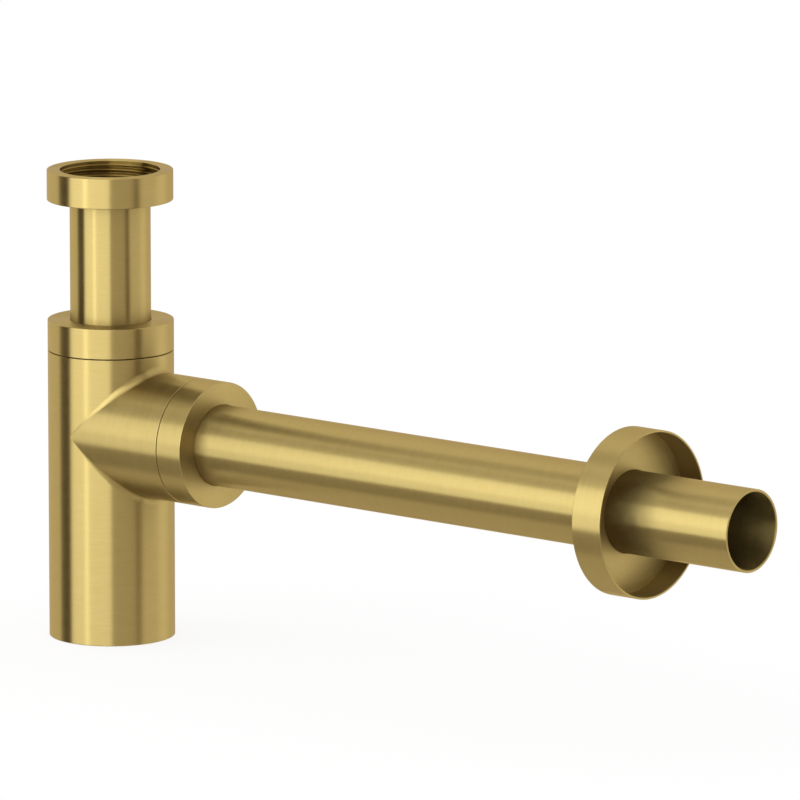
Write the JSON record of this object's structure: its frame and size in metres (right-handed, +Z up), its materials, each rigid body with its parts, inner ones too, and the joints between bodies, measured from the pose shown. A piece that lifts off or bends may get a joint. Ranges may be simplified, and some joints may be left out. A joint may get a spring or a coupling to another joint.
{
  "type": "bottle trap",
  "caption": "Brushed-gold washbasin bottle trap: swivel inlet nut, height-adjustable tube, bottle with side outlet, sliding outlet pipe and wall rosette.",
  "frame": {"origin": "on the inlet axis at the seat plane, where the waste tail meets the flat washer in the inlet nut", "axes": "+Z up along the inlet, +X along the outlet pipe towards the wall"},
  "size_m": [0.345, 0.065, 0.1874],
  "materials": {
    "brushed_gold": "brushed round the turned forms, satin, lacquered gold colour",
    "black_rubber": "moulded, matt",
    "white_nylon": "smooth, slightly waxy",
    "white_polypropylene": "moulded, satin"
  },
  "bodies": {
    "inlet_nut": {"inlet_nut": "brushed_gold"},
    "washer": {"inlet_washer": "black_rubber"},
    "inlet_tube": {"inlet_tube": "brushed_gold"},
    "trap": {"trap_body": "brushed_gold", "dip_tube": "white_polypropylene", "collar_seal": "black_rubber"},
    "collar_slip": {"collar_slip_ring": "white_nylon"},
    "collar_nut": {"collar_nut": "brushed_gold"},
    "outlet_slip": {"outlet_slip_ring": "white_nylon"},
    "outlet_nut": {"outlet_nut": "brushed_gold"},
    "outlet_seal": {"outlet_seal": "black_rubber"},
    "outlet_tube": {"outlet_tube": "brushed_gold"},
    "rosette_ring": {"rosette_ring": "black_rubber"},
    "rosette": {"wall_rosette": "brushed_gold"},
    "plug_gasket": {"plug_gasket": "black_rubber"},
    "plug": {"cleanout_plug": "brushed_gold"}
  },
  "joints": [
    {"name": "nut_slide", "type": "slide", "parent": "inlet_nut", "child": "washer", "axis": [0, 0, 1], "range_m": [0, 0.012]},
    {"name": "inlet_swivel", "type": "hinge", "parent": "washer", "child": "inlet_tube", "pos_m": [0, 0, 0], "axis": [0, 0, 1], "continuous": true},
    {"name": "height_slide", "type": "slide", "parent": "inlet_tube", "child": "trap", "axis": [0, 0, 1], "range_m": [-0.025, 0.028]},
    {"name": "collar_nut_travel", "type": "slide", "parent": "trap", "child": "collar_slip", "axis": [0, 0, 1], "range_m": [0, 0.0074]},
    {"name": "collar_nut_turn", "type": "hinge", "parent": "collar_slip", "child": "collar_nut", "pos_m": [0, 0, -0.0655], "axis": [0, 0, 1], "range_deg": [0, 1770]},
    {"name": "outlet_nut_travel", "type": "slide", "parent": "trap", "child": "outlet_slip", "axis": [1, 0, 0], "range_m": [0, 0.0074]},
    {"name": "outlet_nut_turn", "type": "hinge", "parent": "outlet_slip", "child": "outlet_nut", "pos_m": [0.0447, 0, -0.0972], "axis": [1, 0, 0], "range_deg": [0, 1770]},
    {"name": "outlet_pipe_turn", "type": "hinge", "parent": "trap", "child": "outlet_seal", "pos_m": [0.0447, 0, -0.0972], "axis": [1, 0, 0], "continuous": true},
    {"name": "outlet_pipe_slide", "type": "slide", "parent": "outlet_seal", "child": "outlet_tube", "axis": [1, 0, 0], "range_m": [-0.012, 0.015]},
    {"name": "rosette_slide", "type": "slide", "parent": "outlet_tube", "child": "rosette_ring", "axis": [1, 0, 0], "range_m": [-0.18, 0.057]},
    {"name": "rosette_turn", "type": "hinge", "parent": "rosette_ring", "child": "rosette", "pos_m": [0.259, 0, -0.0972], "axis": [1, 0, 0], "continuous": true},
    {"name": "plug_travel", "type": "slide", "parent": "trap", "child": "plug_gasket", "axis": [0, 0, -1], "range_m": [0, 0.0045]},
    {"name": "plug_turn", "type": "hinge", "parent": "plug_gasket", "child": "plug", "pos_m": [0, 0, -0.1806], "axis": [0, 0, -1], "range_deg": [0, 1075]}
  ],
  "couplings": [
    {"joint": "collar_nut_travel", "follows": "collar_nut_turn", "m_per_rad": 0.00023873},
    {"joint": "outlet_nut_travel", "follows": "outlet_nut_turn", "m_per_rad": 0.00023873},
    {"joint": "plug_travel", "follows": "plug_turn", "m_per_rad": 0.00023873}
  ]
}
